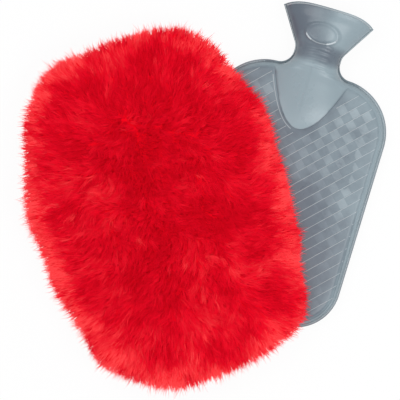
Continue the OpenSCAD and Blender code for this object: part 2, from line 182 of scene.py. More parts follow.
def inward(x, y):
    """Distance from the outline, measured inwards."""
    ax = np.abs(x)
    side = outline_x(y, 0) - ax
    shoulder = np.where(ax > SHOULDER_C[0],
                        SHOULDER_R - np.hypot(ax - SHOULDER_C[0], y - SHOULDER_C[1]), FOOT_R)
    return np.select(
        [y < FOOT_C[1], y < FOOT_C[1] + FOOT_R, y < SHOULDER_C[1], y < THROAT_Y],
        [np.where(ax > FOOT_C[0], FOOT_R - np.hypot(ax - FOOT_C[0], y - FOOT_C[1]), y - FOOT_Y),
         np.minimum(side, y - FOOT_Y),
         side,
         np.minimum(shoulder, np.hypot(ax - THROAT_X, y - THROAT_Y) - THROAT_R)],
        side)


def neckness(x, y):
    """0 on the body and 1 on the neck, which starts later beside the neck than in front of it."""
    late = np.maximum(0, np.abs(x) - NECK_W / 2 + 3) / 2
    return smooth((y - NECK_START_Y - late) / (THROAT_Y - NECK_START_Y))


def boreness(y):
    """0 in the body's hollow, 1 in the bore of the neck and 0 again in the funnel."""
    down = smooth((y - NECK_START_Y + BORE_BLEND) / (INSERT_END - NECK_START_Y + BORE_BLEND))
    return np.minimum(down, 1 - smooth((y - INSERT_TOP) / BORE_BLEND))


def seam_width(y):
    return mix(SEAM_W, NECK_SEAM_W, neckness(0, y))


def seam_height(y):
    return mix(SEAM_Z, AXIS_Z, smooth((y - SEAM_BEND_Y) / (NECK_Y - SEAM_BEND_Y)))


def middle_height(y):
    return mix(SEAM_Z, AXIS_Z, smooth((y - BEND_Y) / (INSERT_END - BEND_Y)))


def neck_depth(y):
    return mix(NECK_D / 2, FUNNEL_D / 2, smooth((y - NECK_Y) / FUNNEL_L))


def tongue_x(y):
    """Half width of the tongue, a parabola in plan."""
    return TONGUE_W / 2 * root((y - TONGUE_Y) / TONGUE_L)


def tongue_rise(x, y, inset):
    """Height of the tongue over the front panel: it swells towards the neck."""
    half = tongue_x(y) - (TONGUE_WALL if inset else 0)
    t = (y - TONGUE_Y) / (THROAT_Y - TONGUE_Y)
    swell = (AXIS_Z + NECK_D / 2 - BODY_T) * smooth(t * TONGUE_SHARE)
    rise = TONGUE_H + swell * np.maximum(0, 1 - (x / np.maximum(half, 0.01)) ** 2)
    return np.where((half <= 0) | (np.abs(x) > half + 0.01), 0, rise)


def ring_at(x, y):
    """Rings round the middle of the neck, as a share of their height: they drop and fade beside it."""
    y = y + RING_BOW * (x / (NECK_W / 2)) ** 2
    wave = np.sin(math.pi * (RING_TOP - y) / RING_PITCH) ** 2
    ring = wave * smooth(2 - np.abs(x) * RING_FADE / NECK_W)
    return np.where((y > RING_TOP) | (y < TANGENT_Y), 0, ring)


def shell_height(x, y, side, inset):
    """Height of the moulding over the floor. side is 1 for the front and -1 for the back."""
    edge = seam_height(y) + side * SEAM_T / (4 if inset else 2)
    depth = inward(x, y) - seam_width(y) - inset
    flat = BODY_T - inset + tongue_rise(x, y, inset) if side > 0 else inset
    body = mix(edge, flat, dome(depth / (EDGE_W - inset / 2)))
    width = outline_x(y, seam_width(y) + inset)
    ring = 0 if inset else RING_H * ring_at(x, y)
    middle = np.maximum(inset, middle_height(y) + side * (neck_depth(y) + ring - inset))
    neck = mix(edge, middle, root(1 - (x / width) ** 2))
    return mix(body, neck, neckness(x, y))


def skin_height(x, y, side, inset):
    """The inner surface also takes in the bore, and stays a wall away from the outer one."""
    if not inset:
        return shell_height(x, y, side, 0)
    bore = boreness(y)
    wide = mix(outline_x(y, seam_width(y) + inset), BORE_R, bore)
    lip = SEAM_T / 4
    bored = AXIS_Z + side * (lip + (BORE_R - lip) * root(1 - (x / wide) ** 2))
    z = mix(shell_height(x, y, side, inset), bored, bore)
    limit = shell_height(x, y, side, 0) - side * inset
    return np.minimum(z, limit) if side > 0 else np.maximum(z, limit)


def bowed(x, y):
    """Moves the funnel forward in its middle, so that its rim is bowed."""
    return y + RIM_RISE * smooth((y - NECK_Y) / FUNNEL_L) * (1 - (x / outline_x(y, 0)) ** 4)


def slack(x, y):
    """Soft waves of an empty vinyl panel, dying out at its edge and at the neck."""
    wave = (0.3 * np.sin(x / 23 + y / 41 + 0.6) + 0.2 * np.sin(x / 15 - y / 19 + 2.1)
            + 0.15 * np.sin(x / 31 + y / 13 + 4.0))
    inside = smooth((inward(x, y) - SEAM_W) / 26)
    return wave * inside * (1 - smooth((y - 88) / 30))


def plate(x, y):
    """The plain oval boss on the front of the funnel, with a rolled edge."""
    out = np.hypot((x - PLATE_X) / (PLATE_W / 2), (y - PLATE_Y) / (PLATE_L / 2))
    rise = smooth((1.08 - out) / PLATE_ROLL)
    sink = 0.6 * smooth((0.88 - out) / PLATE_ROLL)
    return PLATE_H * (rise - sink)


def collar_lines(x, y):
    """Two sharp steps right across the neck, over and under the rings."""
    top = np.exp(-((y - RING_TOP + 7 + RING_BOW * (x / (NECK_W / 2)) ** 2) / 0.8) ** 2)
    low = np.exp(-((y - TANGENT_Y - 2) / 0.9) ** 2)
    return -0.4 * top - 0.35 * low * smooth((NECK_W / 2 + 4 - np.abs(x)) / 6)


def keel(x, y):
    """The soft ridge down the middle of the tongue, with a fine crease on its left."""
    along = smooth((y - TONGUE_Y - 12) / 20) * (1 - smooth((y - TANGENT_Y - 4) / 8))
    return along * (0.35 * np.exp(-np.abs(x + 1.5) / 4.5) - 0.3 * np.exp(-((x + 4.2) / 1.1) ** 2))


def rim_lip(y):
    """A rolled lip at the funnel's rim: the wall is drawn in just below it."""
    return -0.9 * smooth((RIM_Y - y - 1.2) / 1.2) * (1 - smooth((RIM_Y - y - 5) / 7))


def face_detail(x, y, side):
    """Relief of the outer face over the plain moulding."""
    detail = rim_lip(y) * side
    if side > 0:
        detail = detail + slack(x, y) + keel(x, y) + plate(x, bowed(x, y)) + collar_lines(x, y)
    return detail


def front_z(x, y):
    """Height of the finished front face over a point of the plan, whose bow is undone step by step."""
    straight = y
    for _ in range(5):
        straight = y - (bowed(x, straight) - straight)
    return shell_height(x, straight, 1, 0) + face_detail(x, straight, 1)


# Materials

def new_material(name):
    material = bpy.data.materials.new(name)
    material.use_nodes = True
    tree = material.node_tree
    return material, tree, tree.nodes["Principled BSDF"]


def add_node(tree, kind, **values):
    """A node with its settings, and with its sockets set by name."""
    node = tree.nodes.new(kind)
    for key, value in values.items():
        if hasattr(node, key):
            setattr(node, key, value)
        else:
            node.inputs[key.replace("_", " ")].default_value = value
    return node


def colour_ramp(tree, factor, stops):
    """The colour socket of a ramp with its stops at given places."""
    ramp = tree.nodes.new("ShaderNodeValToRGB")
    elements = ramp.color_ramp.elements
    while len(elements) < len(stops):
        elements.new(0.5)
    for element, (place, colour) in zip(elements, stops):
        element.position = place
        element.color = (*colour, 1)
    tree.links.new(factor, ramp.inputs["Fac"])
    return ramp.outputs["Color"]


def map_range(tree, value, low, high, to_low=0.0, to_high=1.0):
    """A socket with a value brought from one range to another and kept inside it."""
    node = tree.nodes.new("ShaderNodeMapRange")
    for key, number in (("From Min", low), ("From Max", high), ("To Min", to_low), ("To Max", to_high)):
        node.inputs[key].default_value = number
    tree.links.new(value, node.inputs["Value"])
    return node.outputs["Result"]


def blended(tree, factor, first, second):
    """A mix of two colours, each a socket."""
    node = add_node(tree, "ShaderNodeMix", data_type="RGBA")
    tree.links.new(factor, node.inputs["Factor"])
    tree.links.new(first, node.inputs[6])
    tree.links.new(second, node.inputs[7])
    return node.outputs[2]


def mottle_and_painted_light_group():
    """Cloudy vinyl for every moulded piece, with painted light and shade: lighter and clearer up its right
    side, towards the light, and darker, dull and violet down its left, in the shade beside the cover.
    """
    group = bpy.data.node_groups.new("cloudy_vinyl_painted_light", "ShaderNodeTree")
    for name, kind, value in (("Clear and lit", "NodeSocketColor", (0.2, 0.25, 0.28, 1)),
                              ("Dull and shaded", "NodeSocketColor", (0.13, 0.14, 0.17, 1)),
                              ("Grain", "NodeSocketFloat", 0.1)):
        socket = group.interface.new_socket(name, in_out="INPUT", socket_type=kind)
        socket.default_value = value
    for name, kind in (("Colour", "NodeSocketColor"), ("Roughness", "NodeSocketFloat"),
                       ("Normal", "NodeSocketVector")):
        group.interface.new_socket(name, in_out="OUTPUT", socket_type=kind)
    into = group.nodes.new("NodeGroupInput")
    out = group.nodes.new("NodeGroupOutput")
    place = group.nodes.new("ShaderNodeTexCoord")
    cloud = add_node(group, "ShaderNodeTexNoise", Scale=26.0, Detail=5.0, Roughness=0.6)
    speck = add_node(group, "ShaderNodeTexNoise", Scale=900.0, Detail=2.0)
    for texture in (cloud, speck):
        group.links.new(place.outputs["Object"], texture.inputs["Vector"])
    # Painted light and shade: a slope across the piece that lightens its right side and darkens its left.
    slope = add_node(group, "ShaderNodeVectorMath", operation="DOT_PRODUCT")
    slope.inputs[1].default_value = (5.5, 1.8, 0.0)
    group.links.new(place.outputs["Object"], slope.inputs[0])
    own = add_node(group, "ShaderNodeAttribute", attribute_name="clearness_and_painted_light")
    terms = [map_range(group, cloud.outputs["Fac"], 0.35, 0.65, -0.16, 0.16), own.outputs["Fac"]]
    # A darker pool on the body beside the cover's edge is a painted shadow of the cover; a lighter pool lies
    # on the left shoulder.
    for centre, gain in (((0.035, -0.045, 0.02), -0.27), ((-0.055, 0.11, 0.02), 0.3)):
        pool = add_node(group, "ShaderNodeVectorMath", operation="DISTANCE")
        pool.inputs[1].default_value = centre
        group.links.new(place.outputs["Object"], pool.inputs[0])
        terms.append(map_range(group, pool.outputs["Value"], 0.02, 0.07, gain, 0.0))
    total = slope.outputs["Value"]
    for term in terms:
        waver = add_node(group, "ShaderNodeMath", operation="ADD")
        group.links.new(total, waver.inputs[0])
        group.links.new(term, waver.inputs[1])
        total = waver.outputs["Value"]
    share = map_range(group, total, 0.06, 0.82)
    colour = blended(group, share, into.outputs["Dull and shaded"], into.outputs["Clear and lit"])
    bump = add_node(group, "ShaderNodeBump", Distance=0.0002)
    group.links.new(into.outputs["Grain"], bump.inputs["Strength"])
    group.links.new(speck.outputs["Fac"], bump.inputs["Height"])
    group.links.new(colour, out.inputs["Colour"])
    group.links.new(map_range(group, cloud.outputs["Fac"], 0.3, 0.7, 0.24, 0.38), out.inputs["Roughness"])
    group.links.new(bump.outputs["Normal"], out.inputs["Normal"])
    return group


def moulded(name, clear, dull, grain, group):
    """Vinyl from the shared group, with its own clear and dull colour, which the group also uses as the lit
    and the shaded colour of its painted light.
    """
    material, tree, shader = new_material(name)
    mottle = tree.nodes.new("ShaderNodeGroup")
    mottle.node_tree = group
    mottle.inputs["Clear and lit"].default_value = (*clear, 1)
    mottle.inputs["Dull and shaded"].default_value = (*dull, 1)
    mottle.inputs["Grain"].default_value = grain
    tree.links.new(mottle.outputs["Colour"], shader.inputs["Base Color"])
    tree.links.new(mottle.outputs["Roughness"], shader.inputs["Roughness"])
    tree.links.new(mottle.outputs["Normal"], shader.inputs["Normal"])
    return material


def plain(name, colour, roughness):
    material, _, shader = new_material(name)
    shader.inputs["Base Color"].default_value = (*colour, 1)
    shader.inputs["Roughness"].default_value = roughness
    return material


def woolly(shader):
    """The soft bloom of light on dyed fibres."""
    shader.inputs["Roughness"].default_value = 0.75
    shader.inputs["Specular IOR Level"].default_value = 0.04
    shader.inputs["Sheen Weight"].default_value = 0.15
    shader.inputs["Sheen Roughness"].default_value = 0.5
    shader.inputs["Sheen Tint"].default_value = (1.0, 0.03, 0.06, 1)


def wool_material():
    """Dyed wool: u of the strand map is its shade and v runs from root to tip.

    A painted red glow stands in for light that comes through the fibres, most of all round the thin edge."""
    material, tree, shader = new_material("red_wool")
    strand = add_node(tree, "ShaderNodeUVMap", uv_map="OFBake")
    parts = tree.nodes.new("ShaderNodeSeparateXYZ")
    tree.links.new(strand.outputs["UV"], parts.inputs["Vector"])
    # Painted shade: the strands are coloured darker towards their roots, deep in the pile where they shade
    # each other.
    along = colour_ramp(tree, parts.outputs["Y"], (
        (0.0, (0.65, 0.5, 0.7)), (0.5, (0.95, 0.8, 0.9)), (1.0, (1.0, 1.0, 1.0))))
    # u is the strand's tone from shades_of; its lighter, pinker end is painted light round the cover's lit
    # edge.
    shade = colour_ramp(tree, parts.outputs["X"], (
        (0.0, (0.80, 0.001, 0.014)), (0.4, (1.0, 0.003, 0.025)), (0.65, (1.0, 0.014, 0.036)),
        (0.85, (1.0, 0.03, 0.045)), (1.0, (1.0, 0.055, 0.065))))
    tint = add_node(tree, "ShaderNodeMix", data_type="RGBA", blend_type="MULTIPLY")
    tint.inputs["Factor"].default_value = 1.0
    tree.links.new(along, tint.inputs[6])
    tree.links.new(shade, tint.inputs[7])
    tree.links.new(tint.outputs[2], shader.inputs["Base Color"])
    # Painted glow: an emission that stands in for light coming through the fibres, strongest round the edge.
    through = colour_ramp(tree, parts.outputs["X"], (
        (0.2, (0.03, 0.0, 0.0)), (0.6, (0.09, 0.001, 0.002)), (1.0, (0.30, 0.032, 0.03))))
    tree.links.new(through, shader.inputs["Emission Color"])
    shader.inputs["Emission Strength"].default_value = 1.0
    woolly(shader)
    return material


def napped(name, stops, depth, **noise_values):
    """A material whose colour and bumps follow the same fine noise."""
    material, tree, shader = new_material(name)
    place = tree.nodes.new("ShaderNodeTexCoord")
    nap = add_node(tree, "ShaderNodeTexNoise", **noise_values)
    tree.links.new(place.outputs["Object"], nap.inputs["Vector"])
    tree.links.new(colour_ramp(tree, nap.outputs["Fac"], stops), shader.inputs["Base Color"])
    bump = add_node(tree, "ShaderNodeBump", Strength=0.5, Distance=depth)
    tree.links.new(nap.outputs["Fac"], bump.inputs["Height"])
    tree.links.new(bump.outputs["Normal"], shader.inputs["Normal"])
    return material, shader


def down_material():
    """The dense down between the roots of the wool."""
    stops = (0.3, (0.75, 0.0, 0.010)), (0.6, (0.92, 0.002, 0.016)), (0.8, (1.0, 0.008, 0.022))
    material, shader = napped("red_down", stops, 0.0015,
                              Scale=190.0, Detail=5.0, Roughness=0.7, Distortion=0.8)
    # Painted glow: a faint red emission lightens the shade deep in the down between the strands.
    shader.inputs["Emission Color"].default_value = (0.14, 0.0, 0.001, 1)
    shader.inputs["Emission Strength"].default_value = 1.0
    woolly(shader)
    return material


def skin_material():
    """The skin that the wool grows from, suede on its inside."""
    stops = (0.3, (0.34, 0.0, 0.008)), (0.7, (0.52, 0.004, 0.016))
    material, shader = napped("dyed_skin", stops, 0.0004, Scale=420.0, Detail=4.0)
    shader.inputs["Roughness"].default_value = 0.9
    return material


# Making pieces

def add_piece(name, mesh, material, flat_angle):
    """Puts a mesh in metres into the scene, smooth apart from edges sharper than flat_angle."""
    mesh.materials.append(material)
    mesh.shade_smooth()
    if flat_angle:
        mesh.set_sharp_from_angle(angle=math.radians(flat_angle))
    piece = bpy.data.objects.new(name, mesh)
    bpy.context.scene.collection.objects.link(piece)
    return piece


def finish(bm, name, material, flat_angle=None):
    """Turns a bmesh in millimetres into an object in metres, at the origin."""
    bmesh.ops.scale(bm, vec=(MM, MM, MM), verts=bm.verts)
    mesh = bpy.data.meshes.new(name)
    bm.to_mesh(mesh)
    bm.free()
    return add_piece(name, mesh, material, flat_angle)


def mesh_arrays(bm):
    """A template's vertices and faces as arrays, for copying it many times."""
    bm.verts.index_update()
    points = np.array([v.co[:] for v in bm.verts])
    faces = [[v.index for v in f.verts] for f in bm.faces]
    bm.free()
    return points, faces


def many_copies(name, points, faces, material, uvs=None, normals=None, flat_angle=None):
    """One mesh of many copies of a template: points has a row of moved vertices for each copy."""
    count, each = points.shape[:2]
    sizes = np.array([len(f) for f in faces])
    corners = np.concatenate([np.array(f) for f in faces])
    loops = (np.arange(count)[:, None] * each + corners[None, :]).ravel()
    loop_sizes = np.tile(sizes, count)
    mesh = bpy.data.meshes.new(name)
    mesh.vertices.add(count * each)
    mesh.vertices.foreach_set("co", (points * MM).astype(np.float32).ravel())
    mesh.loops.add(len(loops))
    mesh.loops.foreach_set("vertex_index", loops.astype(np.int32))
    mesh.polygons.add(len(loop_sizes))
    starts = np.concatenate([[0], np.cumsum(loop_sizes)[:-1]])
    mesh.polygons.foreach_set("loop_start", starts.astype(np.int32))
    mesh.update(calc_edges=True)
    if uvs is not None:
        layer = mesh.uv_layers.new(name="OFBake")
        flat = uvs.reshape(-1, 2)[loops]
        layer.data.foreach_set("uv", flat.astype(np.float32).ravel())
    mesh.validate()
    piece = add_piece(name, mesh, material, flat_angle)
    if normals is not None:
        mesh.normals_split_custom_set_from_vertices(normals.reshape(-1, 3))
    return piece


# Bottle

def bottle_columns(y, inset):
    """Places across the bottle at each row, from the outline to the middle."""
    w = outline_x(y, 0)
    core = np.minimum(w - 0.5, outline_x(y, seam_width(y) + inset))
    bore = boreness(y) if inset else 0 * y
    n = np.maximum(neckness(0, y), bore)
    base = mix(core, BORE_R, bore)
    tongue = tongue_x(y) - (TONGUE_WALL if inset else 0)
    tip = np.where(y < TONGUE_Y, 3 + (TONGUE_Y - y) * 0.3, np.maximum(3, tongue))
    inner = np.minimum(tip, base * 0.8)
    outer = np.minimum(inner + 1, base * 0.84)
    span = np.minimum(EDGE_W, (base - outer) * 0.9)
    body = np.stack([base - span * e for e in (0.12, 0.35, 0.7, 1)]
                    + [outer, inner, inner * 0.66, inner * 0.33, 0 * y])
    across = np.array([0.99, 0.95, 0.87, 0.75, 0.6, 0.5, 0.34, 0.17, 0])[:, None] * base
    first = np.stack([base, base * 0.998] if inset else [w, core])
    return np.concatenate([first, mix(body, across, n)])


def finer(columns, steps):
    """Cuts each interval between two columns into a number of equal ones."""
    places = np.concatenate([i + np.arange(s) / s for i, s in enumerate(steps)] + [[len(steps)]])
    low = np.minimum(places.astype(int), len(columns) - 2)
    share = (places - low)[:, None]
    return columns[low] * (1 - share) + columns[low + 1] * share


def spread_rows(*groups):
    """Rows of several groups in order, without those that lie almost on the row before."""
    rows = np.sort(np.concatenate(groups))
    keep = [rows[0]]
    for y in rows[1:]:
        if y - keep[-1] > 0.12:
            keep.append(y)
    return np.array(keep)


def outer_rows():
    foot = FOOT_C[1] - FOOT_R * np.sin(np.radians(np.arange(90, -1, -3)))
    shoulder = SHOULDER_C[1] + SHOULDER_R * np.sin(np.radians(np.arange(0, 88, 3)))
    throat = THROAT_Y - THROAT_R * np.sin(np.radians(np.arange(84, -1, -6)))
    return spread_rows(
        foot, shoulder, throat,
        np.linspace(FOOT_C[1], SHOULDER_C[1], 62),
        TONGUE_Y + np.array([0, 0.4, 1.2, 2.4, 4, 6, 9]),
        np.linspace(TANGENT_Y + 0.2, RING_TOP, 42),
        np.linspace(RING_TOP, RIM_Y, 38))


def inner_rows():
    first = FOOT_Y + SEAM_W + WALL
    turns = np.radians([20, 30, 37, 42, 47, 52, 56, 60, 64, 68, 71, 75, 78, 80])
    return spread_rows(
        first + np.array([0, 1, 2.5, 5, 8, 12, 17, 23, 30, 38]),
        np.linspace(FOOT_C[1], TONGUE_Y, 8),
        SHOULDER_C[1] + SHOULDER_R * np.sin(turns),
        np.linspace(TANGENT_Y, INSERT_END, 6),
        np.linspace(INSERT_TOP, INSERT_TOP + BORE_BLEND, 9),
        np.linspace(INSERT_TOP + BORE_BLEND, RIM_Y, 14))


def section_points(rows, inset, steps):
    """Rings round the bottle, one for each row: across the front and back under the floor side."""
    half = finer(bottle_columns(rows, inset), steps).T
    xs = np.concatenate([half, -half[:, -2::-1]], axis=1)
    ys = np.repeat(rows[:, None], xs.shape[1], axis=1)
    ring = []
    for side in (1, -1):
        z = skin_height(xs, ys, side, inset)
        if not inset:
            z = z + face_detail(xs, ys, side)
        ring.append(np.stack([xs, bowed(xs, ys), z], axis=2))
    return np.concatenate([ring[0], ring[1][:, ::-1]], axis=1)


def clearness_and_painted_light(x, y, side):
    """How much lighter the vinyl is coloured: clearer by the seam, lighter on the tongue, a little darker on
    the neck, and lighter across the funnel from left to right, which is painted light.
    """
    if side < 0:
        return 0.0
    on_tongue = smooth((tongue_x(y) - abs(x)) / 2) * (1 - smooth((y - TANGENT_Y) / 14))
    in_funnel = smooth((y - NECK_Y - 4) / 14)
    depth = inward(x, y)
    by_seam = smooth((depth - 1.5) / 1.5) * (1 - smooth((depth - 5) / 4)) * (1 - neckness(x, y))
    on_neck = smooth((y - TANGENT_Y) / 12) * (1 - in_funnel)
    # in_funnel lightens the funnel towards its right: painted light from the side the light comes from.
    return float(0.8 * on_tongue + 0.4 * by_seam - 0.12 * on_neck + in_funnel * (x / 60 + 0.2))


def make_bottle(vinyl, seam_vinyl):
    """One skin of vinyl: up the outside, over the rim and down the inside."""
    steps = (3, 2, 3, 3, 3, 6, 3, 4, 4, 9)
    outside = section_points(outer_rows(), 0, steps)
    inside = section_points(inner_rows()[::-1], WALL, steps)
    rings = np.concatenate([outside, inside])
    rows, columns = rings.shape[:2]
    bm = bmesh.new()
    bmesh.ops.create_grid(bm, x_segments=columns, y_segments=rows - 1, size=1)
    for v in bm.verts:
        i = round((v.co.y + 1) / 2 * (rows - 1))
        j = round((v.co.x + 1) / 2 * columns) % columns
        v.co = rings[i, j]
    bmesh.ops.remove_doubles(bm, verts=bm.verts, dist=0.0005)
    ends = [e for e in bm.edges if e.is_boundary]
    bmesh.ops.holes_fill(bm, edges=ends, sides=0)
    bmesh.ops.recalc_face_normals(bm, faces=bm.faces)
    layer = bm.verts.layers.float.new("clearness_and_painted_light")
    for v in bm.verts:
        v[layer] = clearness_and_painted_light(np.float64(v.co.x), np.float64(v.co.y), v.co.z - seam_height(v.co.y))
    for face in bm.faces:
        middle = face.calc_center_median()
        if middle.y < THROAT_Y and inward(middle.x, middle.y) < SEAM_W * 0.8:
            face.material_index = 1
    bottle = finish(bm, "vinyl_bottle", vinyl, 50)
    bottle.data.materials.append(seam_vinyl)
    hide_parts("bottle")
    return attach(bottle, "bottle_and_cover")


def bar_template(cuts, round_off):
    """A low bar with a rounded back, one long and one wide, cut across its length."""
    bm = bmesh.new()
    bmesh.ops.create_cube(bm, size=1)
    back = [e for e in bm.edges if all(v.co.z > 0 for v in e.verts) and e.verts[0].co.y * e.verts[1].co.y > 0]
    bmesh.ops.bevel(bm, geom=back, offset=round_off, segments=2, profile=0.5, affect="EDGES", material=-1)
    for i in range(1, cuts):
        geometry = list(bm.verts) + list(bm.edges) + list(bm.faces)
        bmesh.ops.bisect_plane(bm, geom=geometry, plane_co=(i / cuts - 0.5, 0, 0), plane_no=(1, 0, 0))
    return mesh_arrays(bm)


def lay_bars(name, starts, ends, width, height, cuts, material, round_off=BAR_ROUND):
    """Lays a bar on the front face from each start to its end."""
    template, faces = bar_template(cuts, round_off)
    starts, ends = np.array(starts), np.array(ends)
    run = ends - starts
    across = np.stack([-run[:, 1], run[:, 0]], axis=1) / np.linalg.norm(run, axis=1)[:, None]
    plan = (starts[:, None] + run[:, None] * (template[None, :, :1] + 0.5)
            + across[:, None] * template[None, :, 1:2] * width)
    base = front_z(plan[..., 0], plan[..., 1])
    z = base + np.where(template[None, :, 2] > 0, (template[None, :, 2] * 2) * height, -BAR_SINK)
    points = np.concatenate([plan, z[..., None]], axis=2)
    piece = many_copies(name, points, faces, material, flat_angle=50)
    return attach(piece, "bottle_and_cover")


def frame_off(y):
    """Distance of the frame inside the outline: less by the foot than by the shoulders."""
    return SEAM_W + mix(BORDER_FOOT_W, BORDER_W, smooth((y - FOOT_C[1]) / 130))


def on_panel(x, y, margin):
    """Whether a point lies on the patterned part of the front panel."""
    tongue = (y > TONGUE_Y - margin - 2) & (np.abs(x) < tongue_x(y + margin) + margin)
    return (inward(x, y) > frame_off(y)) & ~tongue & (y < PANEL_TOP)


def diagonal(along, across):
    """A point given along and across the raised lines, which run at 45 degrees."""
    return (along - across) * math.sqrt(0.5), (along + across) * math.sqrt(0.5)


def make_lines(vinyl):
    """The raised lines: each is followed across the panel and cut where the tongue is."""
    reach = np.arange(-LINE_REACH, LINE_REACH, 0.5)
    starts, ends = [], []
    for i in range(-LINE_COUNT, LINE_COUNT + 1):
        x, y = diagonal(reach, i * LINE_PITCH)
        inside = np.concatenate([[False], on_panel(x, y, LINE_GAP), [False]])
        turns = np.flatnonzero(inside[1:] != inside[:-1])
        for a, b in zip(turns[::2], turns[1::2]):
            if b - a > 8:
                starts.append((x[a], y[a]))
                ends.append((x[b - 1], y[b - 1]))
    return lay_bars("panel_lines", starts, ends, LINE_W, LINE_H, 16, vinyl)


def make_tiles(vinyl):
    """Every other square between the lines stands a little proud, with a finer face; its lighter colour,
    strongest up the right side, is painted sheen.
    """
    starts, ends = [], []
    half = (LINE_PITCH - TILE_GAP) / 2
    for i in range(-LINE_COUNT, LINE_COUNT):
        for j in range(-LINE_COUNT + i % 2, LINE_COUNT, 2):
            u, v = (i + 0.5) * LINE_PITCH, (j + 0.5) * LINE_PITCH
            corners = [diagonal(u + a * half, v + b * half) for a in (-1, 1) for b in (-1, 1)]
            if all(on_panel(x, y, LINE_GAP) and inward(x, y) > SEAM_W + EDGE_W for x, y in corners):
                starts.append(diagonal(u - half, v))
                ends.append(diagonal(u + half, v))
    return lay_bars("panel_squares", starts, ends, 2 * half, TILE_H, 4, vinyl, 0.04)


def border_edge(off):
    """The panel's edge from the middle of the foot to the right shoulder, off(y) inside the outline."""
    def corner(centre, r, angles):
        for a in np.radians(angles):
            inner = r - off(centre[1] + r * math.sin(a))
            yield centre[0] + inner * math.cos(a), centre[1] + inner * math.sin(a)

    foot = [(FOOT_C[0] * t, FOOT_Y + off(FOOT_Y)) for t in (0, 0.5)]
    side = [(float(outline_x(y, off(y))), y) for y in np.linspace(FOOT_C[1] + 8, SHOULDER_C[1] - 4, 18)]
    return [*foot, *corner(FOOT_C, FOOT_R, range(-90, 1, 5)), *side,
            *corner(SHOULDER_C, SHOULDER_R, range(0, 76, 5))]


def tongue_edge(off):
    """The tongue's right edge from its tip up, at a distance outside it."""
    ys = TONGUE_Y + 1 + (TANGENT_Y - 15 - TONGUE_Y) * np.linspace(0, 1, 26) ** 2
    edge = np.stack([tongue_x(ys), ys], axis=1)
    run = np.gradient(edge, axis=0)
    out = np.stack([run[:, 1], -run[:, 0]], axis=1) / np.linalg.norm(run, axis=1)[:, None]
    return [(x, y) for x, y in edge + out * off]


def neck_edge(off):
    """Along the seam of the neck and the funnel, up to the corner of its rim."""
    ys = np.linspace(THROAT_Y - 4, RIM_Y - 0.6, 24)
    xs = outline_x(ys, off)
    return list(zip(xs, bowed(xs, ys)))


def rim_edge(off):
    """Along the front of the funnel's rim, from its middle to its right corner."""
    xs = np.linspace(0, FUNNEL_W / 2 - 2.5, 22)
    ys = np.full(len(xs), RIM_Y - off)
    return list(zip(xs, bowed(xs, ys)))


def boss_edge(first, last):
    """Along the oval boss, on the crest of its rolled edge, from one angle in degrees to another."""
    angles = np.radians(np.linspace(first, last, 16))
    half_w, half_l = PLATE_W / 2 * PLATE_CREST, PLATE_L / 2 * PLATE_CREST
    return list(zip(PLATE_X + half_w * np.cos(angles), PLATE_Y + half_l * np.sin(angles)))


def bars_along(edge, sides):
    """Starts and ends of the bars along an edge, on the right (1), on the left (-1) or on both."""
    starts, ends = [], []
    for side in sides:
        points = [(x * side, y) for x, y in edge]
        starts += points[:-1]
        ends += points[1:]
    return starts, ends


def make_contours(vinyl, painted_highlight_bead, painted_glint_vinyl):
    """The low frame at which the raised lines end, and fine beads by the seam, rim, tongue and boss, coloured
    light as painted highlights.
    """
    for name, edge, sides, width, height, material in (
            ("panel_frame", border_edge(frame_off), (1, -1), FRAME_W, 0.2, vinyl),
            ("seam_bead", border_edge(lambda y: SEAM_BEAD_OFF), (1, -1), BEAD_W, BEAD_H, painted_highlight_bead),
            ("neck_bead", neck_edge(NECK_BEAD_OFF), (1, -1), BEAD_W, BEAD_H, painted_highlight_bead),
            ("rim_bead", rim_edge(RIM_BEAD_OFF), (1, -1), RIM_BEAD_W, 0.48, painted_highlight_bead),
            ("tongue_bead", tongue_edge(GROOVE_W), (-1,), BEAD_W, 0.16, painted_highlight_bead),
            ("boss_bead", boss_edge(-165, -12), (1,), BEAD_W, 0.2, painted_highlight_bead),
            # The two wide beads on the boss are painted glints of the light on its rolled edge.
            ("boss_shine_left", boss_edge(-158, -124), (1,), 1.5, BEAD_H, painted_glint_vinyl),
            ("boss_shine_right", boss_edge(-66, -24), (1,), 1.7, BEAD_H, painted_glint_vinyl)):
        lay_bars(name, *bars_along(edge, sides), width, height, 2, material)


# Closure

def thread_ridge(name, root_r, tip_r, low_y, high_y, phase, material, body):
    """A right-handed screw ridge: a strip with its crest halfway, wound round the neck's axis."""
    around = 36
    turns = (high_y - low_y) / THREAD_PITCH
    steps = round(turns * around)
    profile = ((-1.15, root_r), (-0.4, tip_r), (0.4, tip_r), (1.15, root_r))
    bm = bmesh.new()
    bmesh.ops.create_grid(bm, x_segments=steps, y_segments=3, size=1)
    for v in bm.verts:
        along = (v.co.x + 1) / 2
        shift, r = profile[round((v.co.y + 1) / 2 * 3)]
        fade = min(1, along * steps / 6, (1 - along) * steps / 6)
        r = root_r + (r - root_r) * fade
        a = phase + along * turns * 2 * math.pi
        v.co = (r * math.sin(a), low_y + along * (high_y - low_y) + shift, AXIS_Z + r * math.cos(a))
    bmesh.ops.recalc_face_normals(bm, faces=bm.faces)
    crest = bm.faces[len(bm.faces) // 2]
    middle = crest.calc_center_median()
    faces_out = crest.normal.dot(Vector((middle.x, 0, middle.z - AXIS_Z))) > 0
    if faces_out != (tip_r > root_r):
        bmesh.ops.reverse_faces(bm, faces=bm.faces)
    ridge = finish(bm, name, material, 50)
    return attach(ridge, body)


